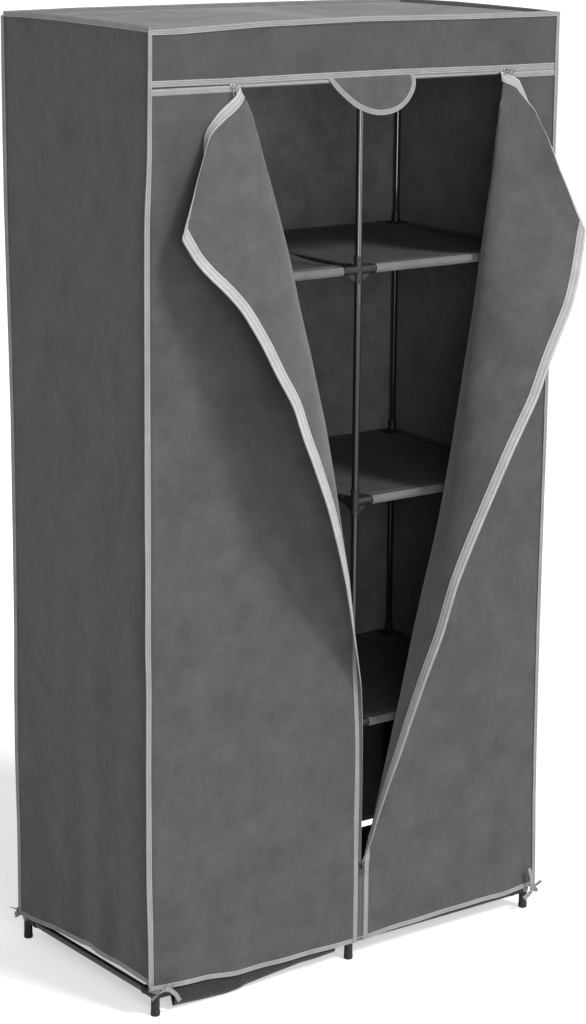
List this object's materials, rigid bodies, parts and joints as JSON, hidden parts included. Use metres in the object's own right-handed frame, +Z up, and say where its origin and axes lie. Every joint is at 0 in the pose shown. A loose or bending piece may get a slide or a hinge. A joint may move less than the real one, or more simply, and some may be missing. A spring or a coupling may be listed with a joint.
{
  "type": "portable fabric wardrobe",
  "caption": "Knock-down wardrobe of steel tubes in plastic connectors with cloth shelves, a hanging rail and a zipped cloth cover whose two doors hang folded back.",
  "frame": {"origin": "on the floor, under the middle of the outline's box with both doors folded back", "axes": "X right along the front, Y from the front to the back, Z up"},
  "size_m": [0.8992, 0.6274, 1.71],
  "materials": {
    "tube_steel": "satin",
    "connector_plastic": "matte",
    "cover_cloth": "matte",
    "cover_inside": "matte",
    "shelf_cloth": "matte",
    "zip_metal": "polished"
  },
  "bodies": {
    "wardrobe": {"column_front_left": "connector_plastic", "column_rear_left": "connector_plastic", "column_front_middle": "connector_plastic", "column_rear_middle": "connector_plastic", "column_front_right": "connector_plastic", "column_rear_right": "connector_plastic", "tube_front_left_bottom": "tube_steel", "tube_rear_left_bottom": "tube_steel", "tube_front_right_bottom": "tube_steel", "tube_rear_right_bottom": "tube_steel", "depth_tube_left_bottom": "tube_steel", "depth_tube_middle_bottom": "tube_steel", "depth_tube_right_bottom": "tube_steel", "tube_front_right_lower": "tube_steel", "tube_rear_right_lower": "tube_steel", "depth_tube_middle_lower": "tube_steel", "depth_tube_right_lower": "tube_steel", "tube_front_right_middle": "tube_steel", "tube_rear_right_middle": "tube_steel", "depth_tube_middle_middle": "tube_steel", "depth_tube_right_middle": "tube_steel", "tube_front_left_upper": "tube_steel", "tube_rear_left_upper": "tube_steel", "tube_front_right_upper": "tube_steel", "tube_rear_right_upper": "tube_steel", "depth_tube_left_upper": "tube_steel", "depth_tube_middle_upper": "tube_steel", "depth_tube_right_upper": "tube_steel", "tube_front_left_top": "tube_steel", "tube_rear_left_top": "tube_steel", "tube_front_right_top": "tube_steel", "tube_rear_right_top": "tube_steel", "depth_tube_left_top": "tube_steel", "depth_tube_middle_top": "tube_steel", "depth_tube_right_top": "tube_steel", "rail_tee_left": "connector_plastic", "rail_tee_right": "connector_plastic", "hanging_rail": "tube_steel", "shelf_cloth_left_bottom": "shelf_cloth", "shelf_cloth_left_upper": "shelf_cloth", "shelf_cloth_right_bottom": "shelf_cloth", "shelf_cloth_right_lower": "shelf_cloth", "shelf_cloth_right_middle": "shelf_cloth", "shelf_cloth_right_upper": "shelf_cloth", "cover_left_side": "cover_cloth", "cover_right_side": "cover_cloth", "cover_back": "cover_cloth", "cover_top": "cover_cloth", "valance": "cover_cloth", "door_left": "cover_cloth", "door_right": "cover_cloth"},
    "flap_left": {"flap_left": "cover_inside"},
    "flap_right": {"flap_right": "cover_inside"},
    "tab": {"tab": "cover_cloth"},
    "zip_slider_left": {"zip_slider_left": "zip_metal"},
    "zip_pull_left": {"zip_pull_left": "zip_metal"},
    "zip_slider_right": {"zip_slider_right": "zip_metal"},
    "zip_pull_right": {"zip_pull_right": "zip_metal"},
    "zip_slider_middle": {"zip_slider_middle": "zip_metal"},
    "zip_pull_middle": {"zip_pull_middle": "zip_metal"}
  },
  "joints": [
    {"name": "left_door_fold", "type": "hinge", "parent": "wardrobe", "child": "flap_left", "pos_m": [-0.2608, -0.14766, 1.6123], "axis": [-0.2622, 0, 0.965], "range_deg": [0, 90]},
    {"name": "right_door_fold", "type": "hinge", "parent": "wardrobe", "child": "flap_right", "pos_m": [0.303, -0.14766, 1.6123], "axis": [-0.1955, 0, -0.9807], "range_deg": [0, 50]},
    {"name": "tab_lift", "type": "hinge", "parent": "wardrobe", "child": "tab", "pos_m": [0.018, -0.14991, 1.6125], "axis": [-1, 0, 0], "range_deg": [0, 165]},
    {"name": "left_zip", "type": "slide", "parent": "wardrobe", "child": "zip_slider_left", "axis": [-1, 0, 0], "range_m": [0, 0.15]},
    {"name": "left_zip_pull", "type": "hinge", "parent": "zip_slider_left", "child": "zip_pull_left", "pos_m": [-0.276, -0.15371, 1.613], "axis": [-1, 0, 0], "range_deg": [0, 170]},
    {"name": "right_zip", "type": "slide", "parent": "wardrobe", "child": "zip_slider_right", "axis": [1, 0, 0], "range_m": [0, 0.1]},
    {"name": "right_zip_pull", "type": "hinge", "parent": "zip_slider_right", "child": "zip_pull_right", "pos_m": [0.318, -0.15371, 1.613], "axis": [0, 0, -1], "range_deg": [0, 170]},
    {"name": "middle_zip", "type": "slide", "parent": "wardrobe", "child": "zip_slider_middle", "axis": [0, 0, -1], "range_m": [0, 0.11]},
    {"name": "middle_zip_pull", "type": "hinge", "parent": "zip_slider_middle", "child": "zip_pull_middle", "pos_m": [0.018, -0.15371, 0.183], "axis": [-1, 0, 0], "range_deg": [0, 140]}
  ]
}
